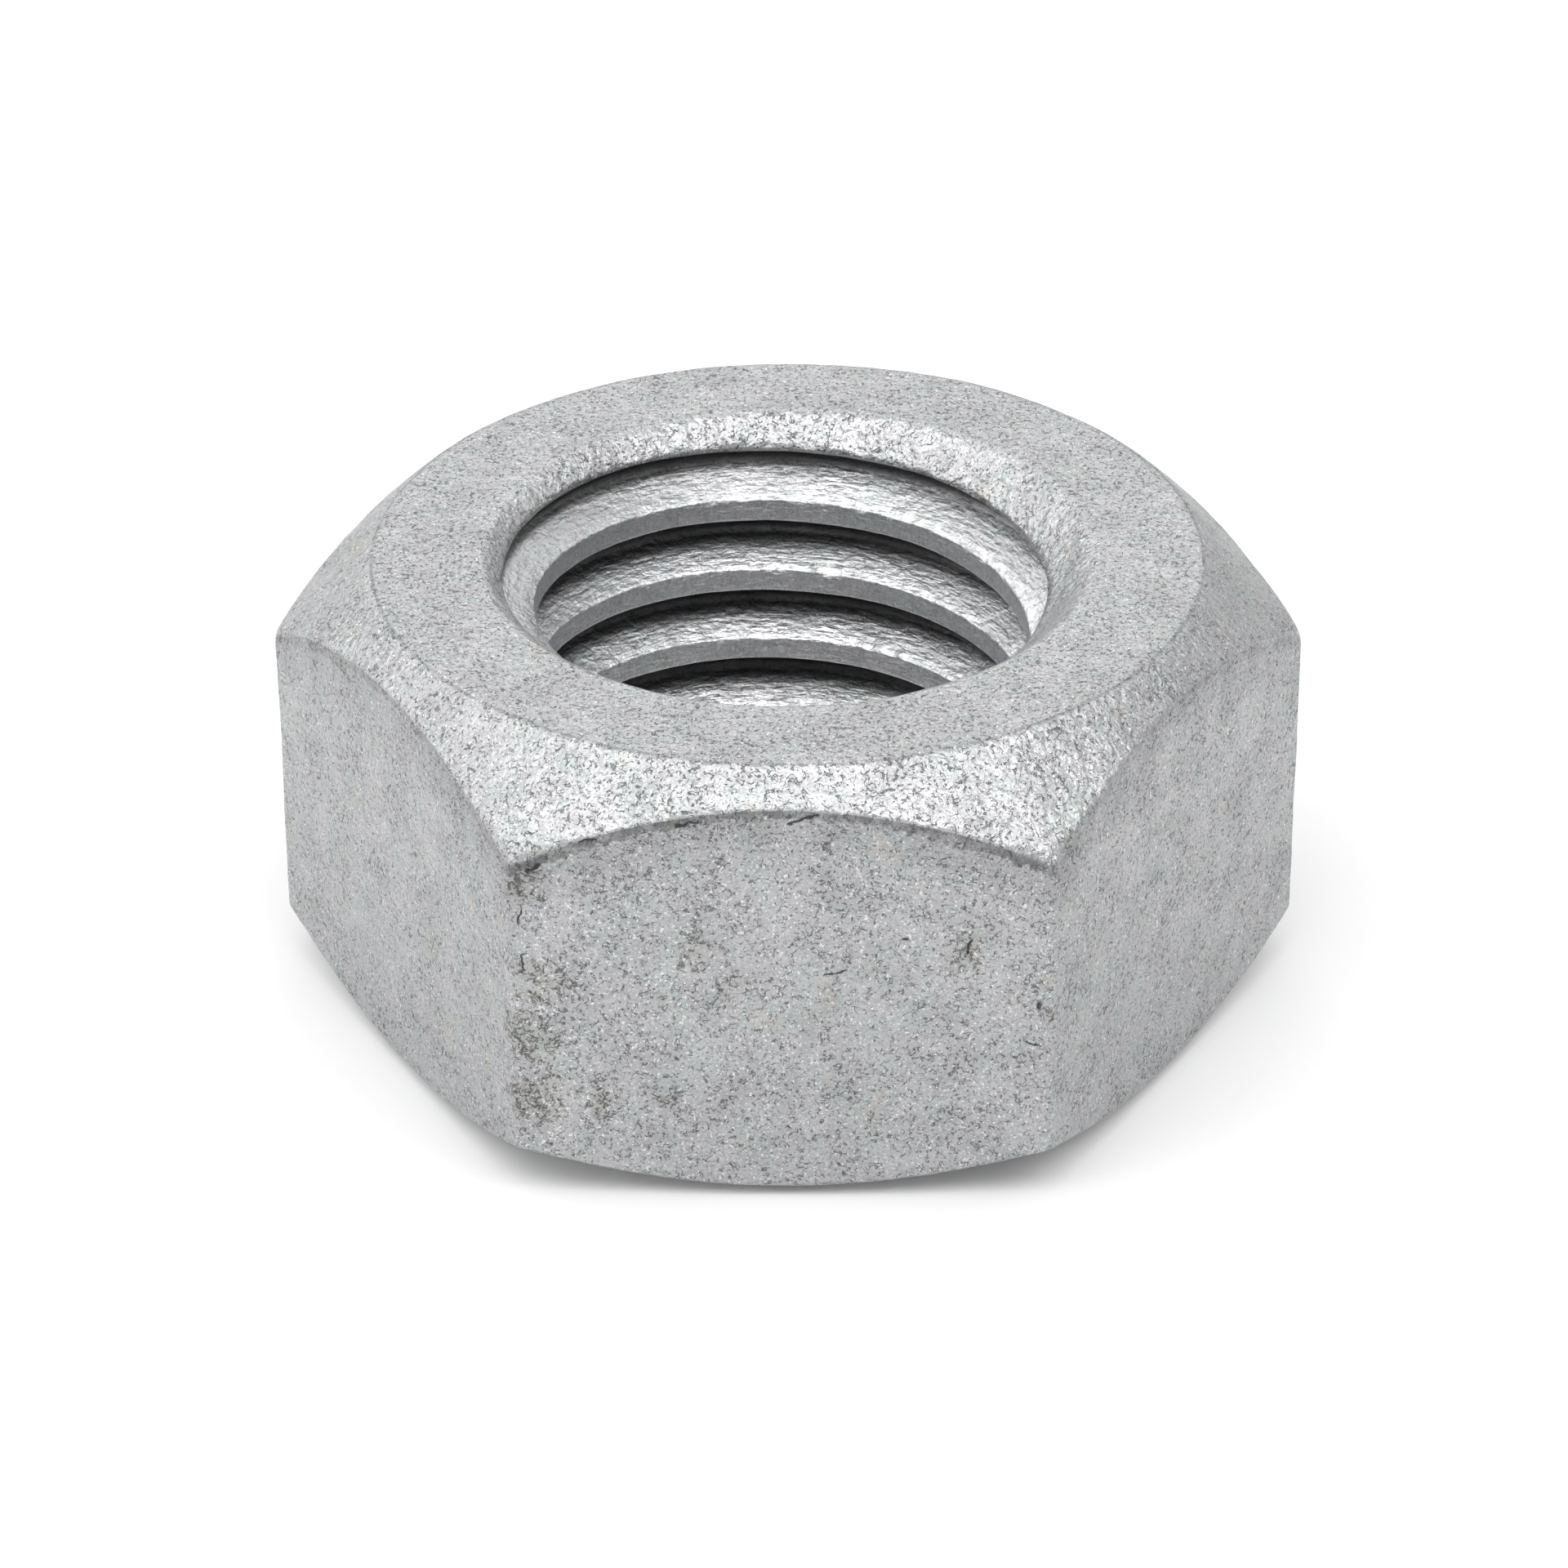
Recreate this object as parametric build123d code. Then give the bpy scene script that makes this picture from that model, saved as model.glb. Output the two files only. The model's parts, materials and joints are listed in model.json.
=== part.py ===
from build123d import *
from build123d.topology import SkipClean

import os
from math import cos, pi, radians, tan

# Hex nut, M12 x 1.75 right-hand, about 0.8 d high, forged, tapped oversize and then hot-dip galvanised.
# Millimetres. The origin is the centre of the lower bearing face and +Z is the thread's axis.
# Two opposite flats face -Y and +Y, so two opposite corners lie on the X axis.

# Body
ACROSS_FLATS = 19.0
HEIGHT = 10.0
FLATS = 6

# Corner chamfers: the diameter of the round bearing face that each leaves, and its slope from that face
UPPER_BEARING_DIAMETER = 17.6
UPPER_CHAMFER_ANGLE = 44.0
LOWER_BEARING_DIAMETER = 18.1
LOWER_CHAMFER_ANGLE = 32.0

# Forging leaves the chamfers slightly crowned
CHAMFER_CROWN = 0.08

# Thread: 60 degree form, with the wide crests of a nut tapped oversize to make room for zinc
PITCH = 1.75
CREST_DIAMETER = 10.55
ROOT_DIAMETER = 12.35
CREST_WIDTH = 0.5
FLANK_ANGLE = 30.0
GROOVE_START = -1.1 * PITCH
GROOVE_TURNS = 8
QUARTERS = 4

# Countersinks at both ends of the bore
COUNTERSINK_DIAMETER = 12.9
COUNTERSINK_ANGLE = 45.0

# How far a cutting shape runs past the surface that it cuts
OVERRUN = 1.0


def hex_blank():
    """The six-sided bar that the nut is cut from."""
    corner_radius = ACROSS_FLATS / 2 / cos(pi / FLATS)
    return extrude(RegularPolygon(corner_radius, FLATS), HEIGHT)


def chamfered_end(bearing_diameter, chamfer_angle):
    """A turned shape that is wider than the nut, chamfered around its lower end."""
    bearing_radius = bearing_diameter / 2
    reach = ACROSS_FLATS / 2 / cos(pi / FLATS) + OVERRUN
    rise = (reach - bearing_radius) * tan(radians(chamfer_angle))
    inner = Vector(bearing_radius, 0)
    outer = Vector(reach, rise)
    bulge = Vector(rise, bearing_radius - reach).normalized() * CHAMFER_CROWN
    chamfer = Bezier(inner, (inner + outer) / 2 + bulge, outer)
    rest = Polyline(outer, (reach, HEIGHT), (0, HEIGHT), (0, 0), inner)
    return revolve(Plane.XZ * make_face([chamfer, rest]), Axis.Z)


def crest_bore():
    """The drilled hole at the thread's crests, its wall in quarter turns."""
    sweep_angle = 360 / QUARTERS
    arcs = [CenterArc((0, 0), CREST_DIAMETER / 2, sweep_angle * i, sweep_angle) for i in range(QUARTERS)]
    circle = Plane.XY.offset(-OVERRUN) * make_face(arcs)
    return extrude(circle, HEIGHT + 2 * OVERRUN, clean=False)


def countersink():
    """The cone at the lower end of the bore."""
    mouth = COUNTERSINK_DIAMETER / 2
    slope = tan(radians(COUNTERSINK_ANGLE))
    outline = Polyline(
        (0, -OVERRUN),
        (mouth + OVERRUN / slope, -OVERRUN),
        (0, mouth * slope),
        close=True,
    )
    return revolve(Plane.XZ * make_face(outline), Axis.Z)


def thread_helix():
    """The path of the groove, one quarter turn after another."""
    rise = PITCH / QUARTERS
    quarter = Helix(PITCH, rise, CREST_DIAMETER / 2, center=(0, 0, GROOVE_START))
    count = GROOVE_TURNS * QUARTERS
    spans = [Pos(0, 0, rise * i) * Rot(0, 0, 360 / QUARTERS * i) * quarter for i in range(count)]
    return Wire([span.edge() for span in spans])


def thread_groove():
    """The helical groove that the tap cuts, from below the nut to above it."""
    crest_radius = CREST_DIAMETER / 2
    root_radius = ROOT_DIAMETER / 2
    slope = tan(radians(FLANK_ANGLE))
    half_mouth = (PITCH - CREST_WIDTH) / 2
    half_root = half_mouth - (root_radius - crest_radius) * slope
    inner_radius = crest_radius - OVERRUN / 4
    half_inner = half_mouth + (crest_radius - inner_radius) * slope
    section = Polyline(
        (inner_radius, GROOVE_START - half_inner),
        (root_radius, GROOVE_START - half_root),
        (root_radius, GROOVE_START + half_root),
        (inner_radius, GROOVE_START + half_inner),
        close=True,
    )
    return sweep(Plane.XZ * make_face(section), path=thread_helix(), is_frenet=True)


def at_upper_end(shape):
    """A shape made for the lower end, turned over for the upper one."""
    return Plane.XY.offset(HEIGHT) * shape.mirror(Plane.XY)


def hex_nut():
    """The finished nut, one solid."""
    body = hex_blank()
    body &= chamfered_end(LOWER_BEARING_DIAMETER, LOWER_CHAMFER_ANGLE)
    body &= at_upper_end(chamfered_end(UPPER_BEARING_DIAMETER, UPPER_CHAMFER_ANGLE))
    with SkipClean():
        body -= crest_bore()
        body -= countersink()
        body -= at_upper_end(countersink())
        body -= thread_groove()
    return body


os.makedirs("parts", exist_ok=True)
export_step(hex_nut(), "parts/hex_nut.step")
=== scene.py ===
import json
import math
from types import SimpleNamespace

import bpy
import numpy as np
from mathutils import Matrix, Vector, noise


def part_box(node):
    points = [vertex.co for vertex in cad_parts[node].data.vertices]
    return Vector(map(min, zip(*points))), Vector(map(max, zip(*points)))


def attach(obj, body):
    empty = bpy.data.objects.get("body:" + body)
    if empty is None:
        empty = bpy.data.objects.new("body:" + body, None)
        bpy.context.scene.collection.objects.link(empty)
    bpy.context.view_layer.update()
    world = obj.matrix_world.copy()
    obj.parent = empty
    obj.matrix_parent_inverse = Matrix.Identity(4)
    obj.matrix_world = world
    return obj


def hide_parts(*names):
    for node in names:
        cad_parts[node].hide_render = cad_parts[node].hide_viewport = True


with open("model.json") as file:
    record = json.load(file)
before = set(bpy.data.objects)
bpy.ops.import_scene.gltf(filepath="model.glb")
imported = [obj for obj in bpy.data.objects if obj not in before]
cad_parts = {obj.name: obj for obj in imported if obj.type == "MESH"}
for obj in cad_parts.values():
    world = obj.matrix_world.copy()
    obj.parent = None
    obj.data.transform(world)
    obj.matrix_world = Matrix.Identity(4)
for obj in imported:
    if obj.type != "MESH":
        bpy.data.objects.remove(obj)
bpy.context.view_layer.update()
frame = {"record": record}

# Sizes are in millimetres until the mesh is made, and the mesh is in metres.
MM = 0.001
NODE = "hex_nut"
lowest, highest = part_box(NODE)
mounts = {mount["name"]: mount for mount in frame["record"]["mounts"]}

FLATS = 6
ACROSS_FLATS = 2 * abs(mounts["flat_front"]["pos_m"][1]) / MM
HEIGHT = (highest.z - lowest.z) / MM
CREST_RADIUS = mounts["thread"]["dims"]["r_mm"]
ROOT_RADIUS = CREST_RADIUS + 0.9
PITCH = 1.75
CREST_WIDTH = 0.5
GROOVE_START = -1.1 * PITCH
UPPER_BEARING_RADIUS = 8.8
UPPER_CHAMFER = math.radians(44)
LOWER_BEARING_RADIUS = 9.05
LOWER_CHAMFER = math.radians(32)
MOUTH_RADIUS = 6.45

# Radii that zinc leaves on the edges
CORNER_ROUND = 0.22
CHAMFER_ROUND = 0.16
TIP_ROUND = 0.6
BEARING_ROUND = 0.5
MOUTH_ROUND = 0.55
CREST_ROUND = 0.07
ROOT_ROUND = 0.16
RUNOUT_BLEND = 0.09

# How far left of the blank's centre the tap ran
THREAD_OFFSET = 0.1

# Where zinc half fills the thread's groove as it runs out at the top
RUNOUT_RADIUS = 5.93
RUNOUT_HEIGHT = 9.25
RUNOUT_LENGTH = 0.25

# Softboxes around the nut: name, azimuth and elevation in degrees, width and height in metres, radiance
SOFTBOX_DISTANCE = 0.6
SOFTBOXES = [
    ("top", 0, 88, 0.6, 0.4, 1.4),
    ("front_high", 0, 62, 1.1, 0.3, 2.75),
    ("left", -75, 48, 0.45, 0.4, 1.05),
    ("right", 75, 48, 0.45, 0.4, 1.2),
    ("left_back", -125, 28, 0.45, 0.35, 1.8),
    ("right_back", 125, 28, 0.45, 0.35, 0.72),
    ("back", 180, 33, 0.6, 0.35, 1.6),
    ("left_low", -80, 14, 0.5, 0.25, 1.6),
    ("front_low", 0, 14, 0.5, 0.25, 1.1),
]

# Dirty marks in the zinc: centre in millimetres and reach
MARKS = [
    ((-1.82, -9.5, 6.0), 0.5),
    ((3.72, -9.5, 5.9), 0.5),
    ((-1.1, -9.5, 5.0), 0.35),
    ((-4.9, -9.5, 5.4), 0.7),
    ((-5.2, -9.5, 3.9), 0.9),
    ((-5.0, -9.5, 2.4), 0.8),
    ((-5.3, -9.5, 7.6), 0.6),
    ((-3.7, -9.5, 2.45), 0.4),
    ((-2.4, -9.5, 2.35), 0.35),
    ((5.3, -9.5, 4.3), 0.3),
    ((-7.9, -6.1, 8.7), 0.4),
    ((-9.4, -2.9, 8.8), 0.4),
]

# Nicks in the front flat: middle in millimetres, half the way along it (x and z), and half its width
NICKS = [
    ((0.4, -9.5, 9.1), (0.28, 0.1), 0.035),
    ((5.2, -9.5, 4.72), (0.02, 0.07), 0.05),
    ((1.06, -9.5, 5.5), (0.2, 0.05), 0.025),
    ((2.46, -9.5, 6.3), (0.06, 0.0), 0.04),
    ((3.75, -9.5, 6.1), (0.05, 0.15), 0.03),
    ((5.05, -9.5, 3.8), (0.12, -0.06), 0.025),
    ((-5.3, -9.5, 6.8), (0.03, 0.16), 0.02),
    ((-5.25, -9.5, 5.7), (-0.02, 0.2), 0.025),
    ((-5.0, -9.5, 7.95), (0.1, 0.08), 0.045),
    ((-3.9, -9.5, 8.6), (0.14, 0.02), 0.03),
    ((-1.9, -9.5, 9.0), (0.2, 0.05), 0.03),
]

# How far the six upper corners stand above the cone that the chamfer would cut
TIP_LIFT = 0.17

# How deep below each face the countersink's ring joins the thread
JOIN_DEPTH = 0.25


# ---- Shape of the nut ----

def column_angles():
    """Angles of the mesh's columns, closer together at the six corners than along the flats."""
    half_flat = ACROSS_FLATS / 2 * math.tan(math.pi / FLATS)
    narrow, wide, growth = 0.05, 0.18, 1.22
    steps = [narrow] * 5
    while sum(steps) < half_flat:
        steps.append(min(steps[-1] * growth, wide))
    from_corner = np.cumsum([0] + steps)
    from_corner *= half_flat / from_corner[-1]
    across = np.concatenate([from_corner - half_flat, (half_flat - from_corner)[-2:0:-1]])
    one_flat = np.arctan2(across, ACROSS_FLATS / 2) + math.pi / FLATS
    return np.concatenate([one_flat + 2 * math.pi / FLATS * flat for flat in range(FLATS)])


def side_radius(angle):
    """Distance from the axis to the side of the nut, with its six upright corners rounded."""
    apothem, half = ACROSS_FLATS / 2, math.pi / FLATS
    from_flat = np.abs(angle % (2 * half) - half)
    tangent = math.atan((apothem - CORNER_ROUND) * math.tan(half) / apothem)
    centre = (apothem - CORNER_ROUND) / math.cos(half)
    from_corner = np.minimum(half - from_flat, half - tangent)
    root = np.sqrt(CORNER_ROUND ** 2 - (centre * np.sin(from_corner)) ** 2)
    return np.where(from_flat < tangent, apothem / np.cos(from_flat), centre * np.cos(from_corner) + root)


def rounded_line(corners, radii, spans, bends):
    """Points along a line through corners, an array of (radius, height) pairs for every column.

    radii rounds the inner corners, spans counts the steps on each straight run and bends those on each corner."""
    starts, ends = [corners[0]], []
    for i, radius in enumerate(radii, start=1):
        back = corners[i - 1] - corners[i]
        ahead = corners[i + 1] - corners[i]
        back /= np.linalg.norm(back, axis=-1, keepdims=True)
        ahead /= np.linalg.norm(ahead, axis=-1, keepdims=True)
        opening = np.arccos(np.clip((back * ahead).sum(-1, keepdims=True), -1, 1))
        reach = radius / np.tan(opening / 2)
        ends.append(corners[i] + back * reach)
        starts.append(corners[i] + ahead * reach)
    ends.append(corners[-1])
    points = []
    for i, (start, end) in enumerate(zip(starts, ends)):
        points += [start + (end - start) * step / spans[i] for step in range(spans[i])]
        if i < len(bends):
            middle = corners[i + 1]
            for step in range(bends[i]):
                t = step / bends[i]
                points.append((1 - t) ** 2 * end + 2 * t * (1 - t) * middle + t ** 2 * starts[i + 1])
    points.append(ends[-1])
    return np.array(points)


def outer_rings(angles):
    """Rings of (radius, height) from the upper countersink, over the outside, to the lower countersink."""
    side = side_radius(angles)
    to_tip = np.clip((side - ACROSS_FLATS / 2) / (side.max() - ACROSS_FLATS / 2), 0, 1)
    upper_edge = HEIGHT - (side - UPPER_BEARING_RADIUS) * math.tan(UPPER_CHAMFER) + TIP_LIFT * to_tip
    lower_edge = (side - LOWER_BEARING_RADIUS) * math.tan(LOWER_CHAMFER)
    upper_round = CHAMFER_ROUND + TIP_ROUND * to_tip[:, None] ** 4

    def ring(radius, height):
        return np.stack([radius + 0 * angles, height + 0 * angles], -1)

    corners = [
        ring(MOUTH_RADIUS - JOIN_DEPTH, HEIGHT - JOIN_DEPTH),
        ring(MOUTH_RADIUS, HEIGHT),
        ring(UPPER_BEARING_RADIUS, HEIGHT),
        ring(side, upper_edge),
        ring(side, lower_edge),
        ring(LOWER_BEARING_RADIUS, 0),
        ring(MOUTH_RADIUS, 0),
        ring(MOUTH_RADIUS - JOIN_DEPTH, JOIN_DEPTH),
    ]
    radii = [MOUTH_ROUND, BEARING_ROUND, upper_round, CHAMFER_ROUND, BEARING_ROUND, MOUTH_ROUND]
    return rounded_line(corners, radii, spans=[1, 10, 10, 31, 6, 8, 1], bends=[5, 5, 5, 3, 4, 4])


def thread_rows():
    """One pitch of the thread as (height, radius) pairs, from one groove's middle to just before the next."""
    slope = math.tan(math.radians(30))
    half_mouth = (PITCH - CREST_WIDTH) / 2
    half_root = half_mouth - (ROOT_RADIUS - CREST_RADIUS) * slope
    outline = [
        (0, ROOT_RADIUS),
        (half_root, ROOT_RADIUS),
        (half_mouth, CREST_RADIUS),
        (PITCH - half_mouth, CREST_RADIUS),
        (PITCH - half_root, ROOT_RADIUS),
        (PITCH, ROOT_RADIUS),
    ]
    corners = [np.array([point], float) for point in outline]
    radii = [ROOT_ROUND, CREST_ROUND, CREST_ROUND, ROOT_ROUND]
    rows = rounded_line(corners, radii, spans=[1, 4, 4, 4, 1], bends=[2, 3, 3, 2])
    return rows[:-1, 0]


def smooth_max(a, b, blend):
    """The larger of a and b, with a soft change from one to the other."""
    share = np.clip(0.5 + 0.5 * (a - b) / blend, 0, 1)
    return b + (a - b) * share + blend * share * (1 - share)


def bore_radius(height, angle, thread):
    """The thread's radius, opened out by the countersinks at both ends."""
    upper = MOUTH_RADIUS - (HEIGHT - height)
    lower = MOUTH_RADIUS - height
    filled = np.clip((height - RUNOUT_HEIGHT) / RUNOUT_LENGTH, 0, 1) * (ROOT_RADIUS - RUNOUT_RADIUS)
    thread = np.minimum(thread, ROOT_RADIUS - filled) - THREAD_OFFSET * math.cos(angle)
    return smooth_max(smooth_max(thread, upper, RUNOUT_BLEND), lower, RUNOUT_BLEND)


def outside(angles):
    """Points and faces of everything but the thread."""
    rings = outer_rings(angles)
    columns = len(angles)
    points = [(r, a, z) for ring in rings for (r, z), a in zip(ring, angles)]
    faces = []
    for k in range(len(rings) - 1):
        for i in range(columns):
            j = (i + 1) % columns
            faces.append((k * columns + j, k * columns + i, (k + 1) * columns + i, (k + 1) * columns + j))
    return points, faces


def thread_columns(angles):
    """The thread's points in every column, the row that each column starts at, and the rows in a pitch."""
    pitch_rows = thread_rows()
    turns = int(HEIGHT / PITCH) + 4
    row_height = np.concatenate([pitch_rows[:, 0] + GROOVE_START + turn * PITCH for turn in range(turns)])
    row_radius = np.tile(pitch_rows[:, 1], turns)
    margin = 0.03
    columns, first = [], []
    for angle in angles:
        heights = row_height + PITCH * angle / (2 * math.pi)
        inside = np.nonzero((heights > JOIN_DEPTH + margin) & (heights < HEIGHT - JOIN_DEPTH - margin))[0]
        radius = bore_radius(heights[inside], angle, row_radius[inside])
        first.append(inside[0])
        columns.append([(r, angle, z) for r, z in zip(radius, heights[inside])])
    return columns, first, len(pitch_rows)


def strip_faces(left, right, shift, below, above):
    """Faces between two columns of the thread, and on to the countersinks' edges below and above them.

    left and right number the columns' points. The right one starts shift rows higher than the left one."""
    skip_left, skip_right = max(shift, 0), max(-shift, 0)
    shared = min(len(left) - skip_left, len(right) - skip_right)
    faces = [(below[1], below[0], *left[: skip_left + 1], *reversed(right[: skip_right + 1]))]
    for k in range(shared - 1):
        a, b = skip_left + k, skip_right + k
        faces.append((right[b], left[a], left[a + 1], right[b + 1]))
    rest_left, rest_right = left[skip_left + shared - 1:], right[skip_right + shared - 1:]
    faces.append((*rest_left, *above, *reversed(rest_right)))
    return faces


def nut_surface():
    """Vertices (in cylinder coordinates: radius, angle, height) and faces of the closed nut."""
    angles = column_angles()
    points, faces = outside(angles)
    bottom = len(points) - len(angles)
    columns, first, per_pitch = thread_columns(angles)
    index = []
    for column in columns:
        index.append(range(len(points), len(points) + len(column)))
        points += column
    for i in range(len(angles)):
        j = (i + 1) % len(angles)
        # The rows climb a pitch in every turn, so the last column meets the first one a pitch further on
        shift = first[j] - first[i] - (per_pitch if j == 0 else 0)
        faces += strip_faces(index[i], index[j], shift, (bottom + i, bottom + j), (i, j))
    return np.array(points), faces


# ---- The zinc coat's relief ----

# Height and size of its lumps, its grain and the ragged rim that it gives the thread's crest, in millimetres
LUMP_HEIGHT, LUMP_SIZE = 0.022, 3.1
GRAIN_HEIGHT, GRAIN_SIZE = 0.010, 0.6
RAG_HEIGHT, RAG_SIZE = 0.04, 0.3


def fractal(points, size, octaves=2):
    """Smooth noise from about -1 to 1 whose largest lumps are about size across."""
    return np.array([noise.fractal(Vector(p) / size, 0.9, 2.0, octaves) for p in points])


def relief(points, normals, radius):
    """How far the coat stands out along the normal at each point, in millimetres."""
    lumps = LUMP_HEIGHT * fractal(points, LUMP_SIZE)
    grain = GRAIN_HEIGHT * fractal(points + 40, GRAIN_SIZE)
    crest_edge = np.clip(1 - np.abs(radius - CREST_RADIUS) / 0.15, 0, 1) * np.clip(3 * normals[:, 2], 0, 1)
    ragged = RAG_HEIGHT * crest_edge * fractal(points + 80, RAG_SIZE)
    return lumps + grain + ragged


def build_nut():
    """The nut as one closed mesh."""
    cylinder, faces = nut_surface()
    radius, angle, height = cylinder.T
    points = np.stack([radius * np.cos(angle), radius * np.sin(angle), height], -1)
    mesh = bpy.data.meshes.new("galvanised_nut")
    mesh.from_pydata(points.tolist(), [], faces)
    mesh.update()
    normals = np.empty(len(points) * 3, np.float32)
    mesh.vertices.foreach_get("normal", normals)
    normals = normals.reshape(-1, 3)
    points += normals * relief(points, normals, radius)[:, None]
    points[:, 2] = np.maximum(points[:, 2], 0)
    mesh.vertices.foreach_set("co", (points * MM).astype(np.float32).ravel())
    mesh.shade_smooth()
    mesh.update()
    nut = bpy.data.objects.new("galvanised_nut", mesh)
    bpy.context.scene.collection.objects.link(nut)
    return nut


# ---- Materials ----

class Nodes:
    """A short way to add and join shader nodes."""

    def __init__(self, owner):
        owner.use_nodes = True
        self.tree = owner.node_tree
        self.tree.nodes.clear()

    def add(self, kind, inputs=None, **settings):
        node = self.tree.nodes.new(kind)
        for name, value in settings.items():
            setattr(node, name, value)
        for name, value in (inputs or {}).items():
            if isinstance(value, bpy.types.NodeSocket):
                self.tree.links.new(value, node.inputs[name])
            else:
                node.inputs[name].default_value = value
        return node

    def put(self, socket, value):
        """Feed a socket from another node's output, or set it to a constant."""
        if isinstance(value, bpy.types.NodeSocket):
            self.tree.links.new(value, socket)
        else:
            socket.default_value = value

    def maths(self, operation, first, second=None):
        node = self.tree.nodes.new("ShaderNodeMath")
        node.operation = operation
        self.put(node.inputs[0], first)
        if second is not None:
            self.put(node.inputs[1], second)
        return node.outputs[0]

    def times(self, first, *others):
        for other in others:
            first = self.maths("MULTIPLY", first, other)
        return first

    def inverse(self, mask):
        return self.maths("SUBTRACT", 1.0, mask)

    def scaled(self, vector, factor):
        node = self.tree.nodes.new("ShaderNodeVectorMath")
        node.operation = "SCALE"
        self.put(node.inputs[0], vector)
        node.inputs["Scale"].default_value = factor
        return node.outputs[0]

    def vector_maths(self, operation, first, second):
        """Vector arithmetic with a constant second vector."""
        node = self.tree.nodes.new("ShaderNodeVectorMath")
        node.operation = operation
        self.put(node.inputs[0], first)
        node.inputs[1].default_value = second
        return node.outputs["Value" if operation in ("DOT_PRODUCT", "DISTANCE") else "Vector"]

    def wobbled(self, vector, reach, scale, detail=2.0):
        """Points pushed about by noise, from 0 to reach along each axis."""
        push = self.add("ShaderNodeTexNoise", {"Vector": vector, "Scale": scale, "Detail": detail})
        node = self.tree.nodes.new("ShaderNodeVectorMath")
        node.operation = "MULTIPLY_ADD"
        self.put(node.inputs[0], push.outputs["Color"])
        node.inputs[1].default_value = reach
        self.put(node.inputs[2], vector)
        return node.outputs[0]

    def split(self, vector):
        return self.add("ShaderNodeSeparateXYZ", {"Vector": vector}).outputs

    def join(self, x, y, z):
        return self.add("ShaderNodeCombineXYZ", {"X": x, "Y": y, "Z": z}).outputs[0]

    def remap(self, value, low, high, to_low, to_high, kind="LINEAR"):
        """Take low..high to to_low..to_high, held level outside it."""
        node = self.tree.nodes.new("ShaderNodeMapRange")
        node.interpolation_type = kind
        for socket, given in zip(node.inputs, (value, low, high, to_low, to_high)):
            self.put(socket, given)
        return node.outputs[0]

    def fade(self, value, start, end):
        """0 at start and 1 at end, with a soft change between them."""
        return self.remap(value, start, end, 0.0, 1.0, "SMOOTHSTEP")

    def noise(self, vector, scale, detail, seed=0, distortion=0.0):
        """Noise about 0.5, with lumps about 1 / scale across. Each seed gives another pattern."""
        shifted = self.tree.nodes.new("ShaderNodeVectorMath")
        shifted.operation = "ADD"
        self.put(shifted.inputs[0], vector)
        shifted.inputs[1].default_value = (seed * 1.7, seed * -2.3, seed * 3.1)
        texture = self.add("ShaderNodeTexNoise", {
            "Vector": shifted.outputs[0], "Scale": scale, "Detail": detail, "Distortion": distortion})
        return texture.outputs[0]

    def ramp(self, value, stops):
        node = self.add("ShaderNodeValToRGB", {"Fac": value})
        elements = node.color_ramp.elements
        while len(elements) < len(stops):
            elements.new(0.5)
        for element, (position, colour) in zip(elements, stops):
            element.position = position
            element.color = (*colour, 1)
        return node.outputs["Color"]

    def blend(self, kind, share, first, second):
        """Colour first with colour second laid over it by share."""
        node = self.tree.nodes.new("ShaderNodeMix")
        node.data_type = "RGBA"
        node.blend_type = kind
        self.put(node.inputs[0], share)
        self.put(node.inputs[6], first if isinstance(first, bpy.types.NodeSocket) else (*first, 1))
        self.put(node.inputs[7], second if isinstance(second, bpy.types.NodeSocket) else (*second, 1))
        return node.outputs[2]


def grey(level):
    return (level, level, level)


# Colours laid over the zinc
ZINC_TINTS = [
    (0.30, (0.490, 0.515, 0.520)),
    (0.42, (0.520, 0.520, 0.535)),
    (0.55, (0.522, 0.522, 0.530)),
    (0.63, (0.495, 0.522, 0.526)),
    (0.72, (0.528, 0.522, 0.505)),
]
STROKE_COLOUR = (0.08, 0.082, 0.085)
SPECK_COLOUR = (0.12, 0.12, 0.125)
# Painted glints: pale specks that stand for light caught by the coat's tiny facets
GLINT_COLOUR = grey(0.85)
# Dark lines along the upper chamfer's edge and around the bearing face
EDGE_LINE_COLOUR = (0.08, 0.08, 0.085)
NICK_COLOUR = (0.05, 0.05, 0.055)
# Painted shade in the thread's groove
GROOVE_SHADE = grey(0.04)
# Painted highlight along the thread crest's upper rim
RIM_HIGHLIGHT = grey(0.9)
MARK_TINT = (0.82, 0.81, 0.73)
# Painted shade laid on the flats just under the upper chamfer's edge
BELOW_EDGE_SHADE = (0.85, 0.85, 0.855)

# How far the fine relief stands out, in millimetres
BUMP_DISTANCE = 0.075


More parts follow.
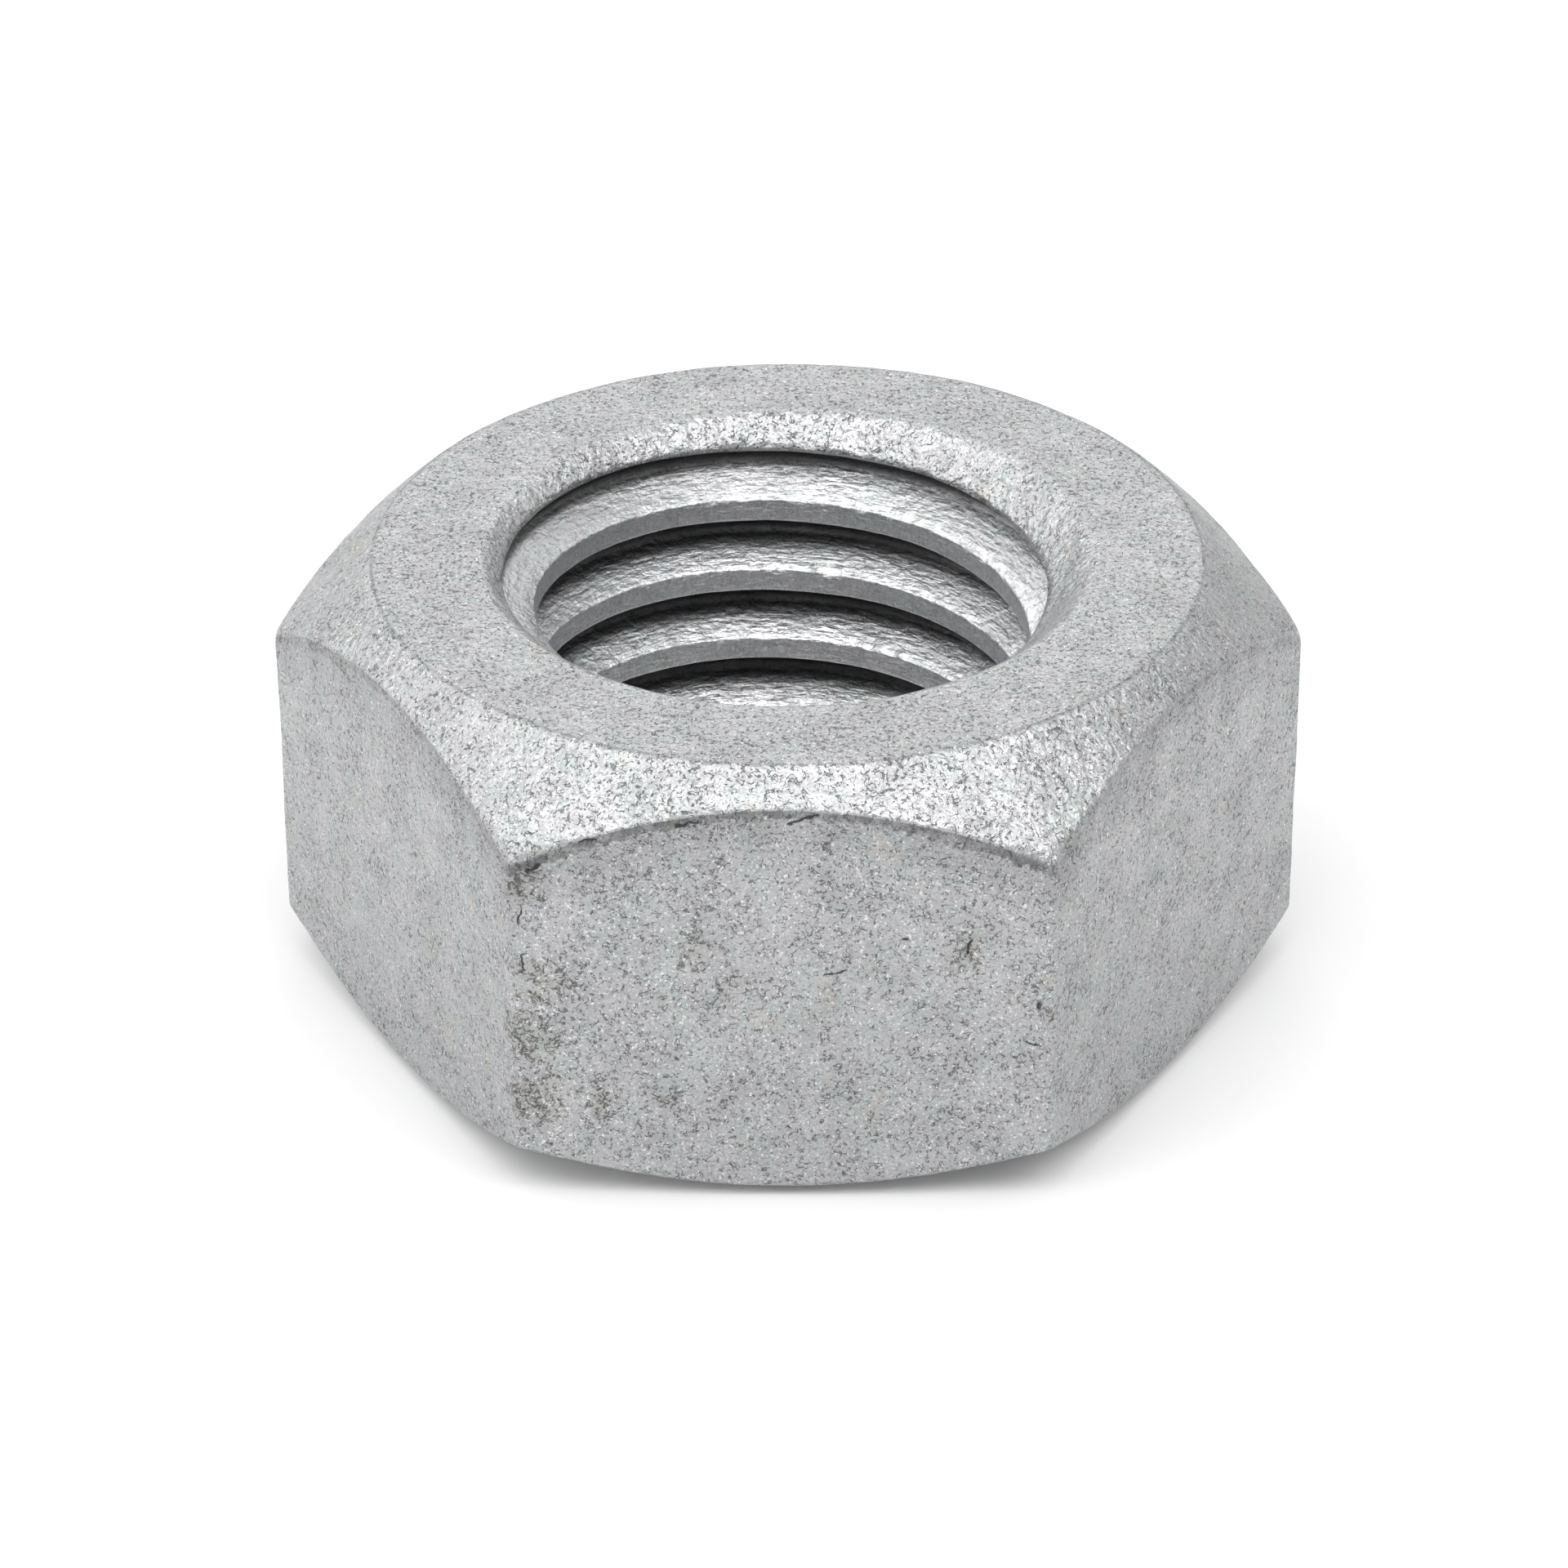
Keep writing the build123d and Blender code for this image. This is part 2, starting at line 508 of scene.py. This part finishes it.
def find_places(nodes):
    """Coordinates in millimetres, and masks that say which part of the nut a point is on."""
    at = SimpleNamespace()
    at.mm = nodes.scaled(nodes.add("ShaderNodeTexCoord").outputs["Object"], 1 / MM)
    x, at.y, at.z = nodes.split(at.mm)
    _, at.facing_y, at.upright = nodes.split(nodes.add("ShaderNodeNewGeometry").outputs["Normal"])
    at.radius = nodes.maths("SQRT", nodes.maths("ADD", nodes.times(x, x), nodes.times(at.y, at.y)))
    at.turn = nodes.maths("ARCTAN2", x, at.y)
    at.on_side = nodes.fade(at.upright, 0.4, 0.15)
    at.on_top = nodes.fade(at.z, HEIGHT - 0.2, HEIGHT - 0.1)

    # Height under the upper chamfer's cone
    slope = math.tan(UPPER_CHAMFER)
    below_tip = nodes.maths("SUBTRACT", HEIGHT + UPPER_BEARING_RADIUS * slope, at.z)
    at.below_chamfer = nodes.maths("SUBTRACT", below_tip, nodes.times(at.radius, slope))

    # The countersinks and the bore between them
    under_upper = nodes.maths("SUBTRACT", nodes.maths("ADD", at.radius, HEIGHT - MOUTH_RADIUS), at.z)
    over_lower = nodes.maths("SUBTRACT", nodes.maths("ADD", at.radius, at.z), MOUTH_RADIUS)
    past_cones = nodes.fade(nodes.maths("MINIMUM", under_upper, over_lower), 0.05, 0.3)
    at.in_bore = nodes.times(nodes.fade(at.radius, MOUTH_RADIUS, MOUTH_RADIUS - 0.15), past_cones)
    at.on_cone = nodes.times(nodes.fade(at.radius, MOUTH_RADIUS + 0.55, MOUTH_RADIUS + 0.05),
                             nodes.inverse(past_cones))

    # The thread: its groove, which gets painted shade that is darker away from the runout, its crest, and the
    # crest's upper rim, which gets a painted highlight
    deep = nodes.fade(at.radius, ROOT_RADIUS - 0.425, ROOT_RADIUS - 0.075)
    deep = nodes.times(deep, nodes.fade(at.z, 9.0, 8.4))
    bottom = nodes.fade(at.radius, ROOT_RADIUS - 0.225, ROOT_RADIUS - 0.025)
    at.groove = nodes.times(nodes.maths("MAXIMUM", deep, bottom), at.in_bore)
    at.crest = nodes.times(nodes.fade(at.radius, CREST_RADIUS + 0.16, CREST_RADIUS + 0.06), at.in_bore)
    at.rim = nodes.times(at.crest, nodes.fade(at.upright, 0.12, 0.4))
    return at


def find_edge_lines(nodes, at):
    """Dark lines just under the upper chamfer's edge, strongest on the flats that face the front, and around the
    bearing face.
    """
    ragged = nodes.remap(nodes.noise(at.mm, 7.0, 2.0, seed=89), 0.3, 0.7, -0.1, 0.1)
    edge_line = nodes.times(nodes.fade(nodes.maths("ADD", at.below_chamfer, ragged), 0.23, 0.15), at.on_side)
    edge_line = nodes.times(edge_line, nodes.remap(at.facing_y, -0.6, -0.9, 0.3, 1.0))
    from_ring = nodes.maths("ABSOLUTE", nodes.maths("SUBTRACT", at.radius, UPPER_BEARING_RADIUS))
    ring_line = nodes.times(nodes.fade(from_ring, 0.06, 0.01), nodes.times(at.on_top, 0.6))
    uneven = nodes.remap(nodes.noise(at.mm, 3.1, 5.0, seed=83), 0.38, 0.6, 0.45, 1.0)
    return nodes.times(nodes.maths("MAXIMUM", edge_line, ring_line), uneven)


def find_marks(nodes, at):
    """The dirty marks, with ragged outlines."""
    reach = Vector((2.0, 1.0, 2.0))
    ragged = nodes.wobbled(at.mm, reach, 2.4, 3.0)
    marks = 0.0
    for place, size in MARKS:
        away = nodes.vector_maths("DISTANCE", ragged, Vector(place) + reach / 2)
        marks = nodes.maths("MAXIMUM", marks, nodes.fade(away, size, size * 0.3))
    return marks


def find_nicks(nodes, at):
    """The nicks in the front flat, each a short and slightly crooked line."""
    reach = Vector((0.2, 0.2, 0.2))
    crooked = nodes.wobbled(at.mm, reach, 6.0)
    nicks = 0.0
    for middle, (along_x, along_z), half_width in NICKS:
        half_length = math.hypot(along_x, along_z)
        way = Vector((along_x, 0, along_z)) / half_length
        side = Vector((-way.z, 0, way.x))
        from_middle = nodes.vector_maths("SUBTRACT", crooked, Vector(middle) + reach / 2)
        along = nodes.maths("ABSOLUTE", nodes.vector_maths("DOT_PRODUCT", from_middle, way))
        across = nodes.maths("ABSOLUTE", nodes.vector_maths("DOT_PRODUCT", from_middle, side))
        nick = nodes.times(nodes.fade(along, half_length + 0.05, half_length - 0.01),
                           nodes.fade(across, half_width * 1.3, half_width * 0.5))
        nicks = nodes.maths("MAXIMUM", nicks, nick)
    on_front = nodes.fade(at.y, -8.6, -9.0)
    return nodes.times(nicks, on_front)


def find_coat(nodes, at, marks):
    """The zinc's structure: broad patches, and dark strokes, pale painted glints and dark specks, weaker in the
    bore.
    """
    coat = SimpleNamespace()
    outside = nodes.inverse(nodes.times(at.in_bore, 0.65))
    coat.patches = nodes.noise(at.mm, 1.1, 3.0, seed=11)

    # A stroke runs where one noise is near its middle value, as far as a second noise lets it
    width = nodes.maths("ADD", nodes.remap(coat.patches, 0.35, 0.68, 0.03, 0.07), nodes.times(marks, 0.05))
    width = nodes.maths("ADD", width, nodes.times(at.on_top, 0.015))
    wander = nodes.noise(at.mm, 7.6, 2.0, distortion=0.6)
    off_line = nodes.maths("ABSOLUTE", nodes.maths("SUBTRACT", wander, 0.5))
    line = nodes.inverse(nodes.maths("MINIMUM", nodes.maths("DIVIDE", off_line, width), 1.0))
    gate = nodes.noise(at.mm, 8.5, 1.0, seed=23)
    open_gate = nodes.fade(nodes.maths("ADD", gate, nodes.times(marks, 0.1)), 0.49, 0.55)
    coat.strokes = nodes.times(line, open_gate, outside)

    # Painted glints: pale specks that stand for light caught by the coat's tiny facets
    coat.flecks = nodes.times(nodes.fade(nodes.noise(at.mm, 16.0, 1.0, seed=37), 0.62, 0.72), outside)
    coat.specks = nodes.times(nodes.fade(nodes.noise(at.mm, 16.0, 1.0, seed=41), 0.37, 0.28), outside)
    return coat


def coat_layers(nodes, at, coat):
    """Broad patches, fine mottling, painted glints, strokes and specks."""
    mottling = nodes.remap(nodes.noise(at.mm, 18.0, 2.0, seed=71), 0.35, 0.65, 1.0, 0.0)
    return [
        ("MULTIPLY", nodes.remap(coat.patches, 0.3, 0.7, 0.0, 1.0), grey(0.87)),
        ("MULTIPLY", mottling, grey(0.80)),
        ("MIX", nodes.times(coat.flecks, 0.7), GLINT_COLOUR),
        ("MIX", nodes.times(coat.strokes, 0.9), STROKE_COLOUR),
        ("MIX", nodes.times(coat.specks, 0.7), SPECK_COLOUR),
    ]


def edge_and_mark_layers(nodes, at, marks, nicks):
    """Dark lines along the edges, the nicks and the dirty marks."""
    return [
        ("MIX", nodes.times(find_edge_lines(nodes, at), 0.65), EDGE_LINE_COLOUR),
        ("MIX", nodes.times(nicks, 0.9), NICK_COLOUR),
        ("MULTIPLY", nodes.times(marks, 0.6), MARK_TINT),
    ]


def shade_layers(nodes, at):
    """Painted light and shade: painted shade on the flats under the upper chamfer's edge, and painted light on
    the top face, in the countersinks and in the bore, more of it lower in the bore. A tint above 1 brightens.
    """
    return [
        # Painted shade on the flats under the upper chamfer's edge
        ("MULTIPLY", nodes.times(nodes.fade(at.below_chamfer, 1.5, 0.2), at.on_side), BELOW_EDGE_SHADE),
        # Painted light on the top face, the countersinks and the bore, more of it lower in the bore
        ("MULTIPLY", at.on_top, grey(1.04)),
        ("MULTIPLY", at.on_cone, grey(1.08)),
        ("MULTIPLY", at.in_bore, grey(1.24)),
        ("MULTIPLY", nodes.times(at.in_bore, nodes.fade(at.z, 8.6, 7.6)), grey(1.24)),
    ]


def thread_layers(nodes, at):
    """The thread's dull crest, painted shade in its groove and a painted highlight along the crest's upper rim.
    """
    land = nodes.times(at.crest, nodes.fade(at.upright, 0.3, 0.1))
    dull = nodes.remap(nodes.noise(at.mm, 5.0, 4.0, seed=101), 0.35, 0.62, 0.15, 1.0)
    bright = nodes.times(at.rim, nodes.fade(nodes.noise(at.mm, 6.0, 2.0, seed=97), 0.42, 0.55))
    return [
        ("MULTIPLY", nodes.times(land, dull), grey(0.87)),
        # Painted shade in the thread's groove
        ("MIX", nodes.times(at.groove, 0.9), GROOVE_SHADE),
        # Painted highlight along the crest's upper rim
        ("MIX", nodes.times(bright, 0.6), RIM_HIGHLIGHT),
    ]


def zinc_colour(nodes, at, coat, marks, nicks):
    """Faint tints, with every layer laid over those before it by its own share."""
    colour = nodes.ramp(nodes.noise(at.mm, 1.0, 2.0, seed=61), ZINC_TINTS)
    layers = coat_layers(nodes, at, coat) + edge_and_mark_layers(nodes, at, marks, nicks)
    layers += shade_layers(nodes, at) + thread_layers(nodes, at)
    for kind, share, tint in layers:
        colour = nodes.blend(kind, share, colour, tint)
    return colour


def zinc_height(nodes, at, coat, nicks):
    """Relief too fine for the mesh: the coat, lumps in the countersinks, and streaks along the thread."""
    strength = nodes.inverse(nodes.times(at.in_bore, 0.45))
    height = nodes.times(nodes.noise(at.mm, 4.5, 4.0, seed=3, distortion=0.4), strength)
    lumps = nodes.times(nodes.noise(at.mm, 2.6, 2.0, seed=29, distortion=0.6), at.on_cone)
    height = nodes.maths("ADD", height, nodes.times(lumps, 1.2))
    height = nodes.maths("SUBTRACT", height, nodes.times(coat.strokes, 0.12))
    height = nodes.maths("SUBTRACT", height, nicks)
    climb = nodes.maths("ADD", at.z, nodes.times(at.turn, PITCH / (2 * math.pi)))
    inward, onward = nodes.times(at.radius, 9.0), nodes.times(at.turn, 15.0)
    streaks = nodes.noise(nodes.join(inward, onward, nodes.times(climb, 9.0)), 1.0, 4.0, seed=53)
    lit_part = nodes.times(at.in_bore, nodes.inverse(nodes.times(at.groove, 0.6)))
    streaks = nodes.times(streaks, lit_part, 0.62)
    return nodes.maths("ADD", height, streaks)


def galvanised_zinc():
    """Matt grey zinc with dark strokes, pale painted glints and faint tints, painted light and shade, and turned
    streaks in the thread.
    """
    material = bpy.data.materials.new("galvanised_zinc")
    nodes = Nodes(material)
    at = find_places(nodes)
    marks = find_marks(nodes, at)
    nicks = find_nicks(nodes, at)
    coat = find_coat(nodes, at, marks)
    rough = nodes.maths("ADD", nodes.times(coat.strokes, 0.4), coat.patches)
    bump = nodes.add("ShaderNodeBump", {
        "Height": zinc_height(nodes, at, coat, nicks), "Strength": 1.0, "Distance": BUMP_DISTANCE * MM})
    surface = nodes.add("ShaderNodeBsdfPrincipled", {
        "Base Color": zinc_colour(nodes, at, coat, marks, nicks), "Metallic": 1.0,
        "Roughness": nodes.remap(rough, 0.3, 1.0, 0.38, 0.6), "Normal": bump.outputs["Normal"]})
    nodes.add("ShaderNodeOutputMaterial", {"Surface": surface.outputs["BSDF"]})
    return material


# ---- The studio ----

FLOOR_SIZE = 3.0
FLOOR_WHITE = (0.75, 0.75, 0.75, 1)
FLOOR_GLOW = 0.04
STUDIO_LIGHT = 0.36

# The camera's place around the nut and its roll in degrees, and its distance in widths across flats
CAMERA_AZIMUTH = 0.81
CAMERA_ELEVATION = 30.83
CAMERA_ROLL = -0.28
CAMERA_DISTANCE = 7.05

# How far left of and below the nut's middle the camera aims, and its lens and sensor, all in millimetres
AIM_LEFT = 0.09
AIM_DOWN = 0.63
LENS = 142.6
SENSOR = 36


def build_floor():
    """A sheet of white acrylic that lets a little light through."""
    mesh = bpy.data.meshes.new("floor")
    half = FLOOR_SIZE / 2
    corners = [(-half, -half, 0), (half, -half, 0), (half, half, 0), (-half, half, 0)]
    mesh.from_pydata(corners, [], [(0, 1, 2, 3)])
    floor = bpy.data.objects.new("floor", mesh)
    bpy.context.scene.collection.objects.link(floor)
    material = bpy.data.materials.new("white_acrylic")
    nodes = Nodes(material)
    surface = nodes.add("ShaderNodeBsdfPrincipled", {
        "Base Color": FLOOR_WHITE, "Roughness": 0.9, "Specular IOR Level": 0.0,
        "Emission Color": (1, 1, 1, 1), "Emission Strength": FLOOR_GLOW})
    nodes.add("ShaderNodeOutputMaterial", {"Surface": surface.outputs["BSDF"]})
    mesh.materials.append(material)


def build_world():
    """An even white light from all around."""
    world = bpy.data.worlds.new("studio")
    bpy.context.scene.world = world
    nodes = Nodes(world)
    sky = nodes.add("ShaderNodeBackground", {"Color": (1, 1, 1, 1), "Strength": STUDIO_LIGHT})
    nodes.add("ShaderNodeOutputWorld", {"Surface": sky.outputs["Background"]})


def toward(azimuth, elevation):
    """The direction from the nut, with azimuth 0 in front of it and 90 to its right."""
    a, e = math.radians(azimuth), math.radians(elevation)
    return Vector((math.sin(a) * math.cos(e), -math.cos(a) * math.cos(e), math.sin(e)))


def softbox(name, azimuth, elevation, width, height, radiance):
    """A rectangular lamp that faces the nut."""
    lamp = bpy.data.lights.new(name, "AREA")
    lamp.shape = "RECTANGLE"
    lamp.size, lamp.size_y = width, height
    lamp.energy = radiance * math.pi * width * height
    box = bpy.data.objects.new(name, lamp)
    direction = toward(azimuth, elevation)
    box.location = direction * SOFTBOX_DISTANCE
    box.rotation_mode = "QUATERNION"
    box.rotation_quaternion = direction.to_track_quat("Z", "Y")
    bpy.context.scene.collection.objects.link(box)


def build_camera():
    """The photographer's camera: a long lens, about seven nut widths away and 31 degrees above the floor."""
    back = toward(CAMERA_AZIMUTH, CAMERA_ELEVATION)
    roll = Matrix.Rotation(math.radians(CAMERA_ROLL), 3, "Z")
    turn = back.to_track_quat("Z", "Y").to_matrix() @ roll
    nut_middle = Vector((0, 0, HEIGHT / 2 * MM))
    aim = nut_middle - turn.col[0] * (AIM_LEFT * MM) - turn.col[1] * (AIM_DOWN * MM)
    data = bpy.data.cameras.new("camera")
    data.sensor_width = SENSOR
    data.lens = LENS
    data.clip_start, data.clip_end = 0.01, 10
    camera = bpy.data.objects.new("camera", data)
    camera.location = aim + back * (CAMERA_DISTANCE * ACROSS_FLATS * MM)
    camera.rotation_mode = "QUATERNION"
    camera.rotation_quaternion = turn.to_quaternion()
    bpy.context.scene.collection.objects.link(camera)
    bpy.context.scene.camera = camera


nut = build_nut()
nut.data.materials.append(galvanised_zinc())
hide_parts(NODE)
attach(nut, "root")

build_floor()
build_world()
for place in SOFTBOXES:
    softbox(*place)
build_camera()
bpy.context.scene.view_settings.view_transform = "Standard"
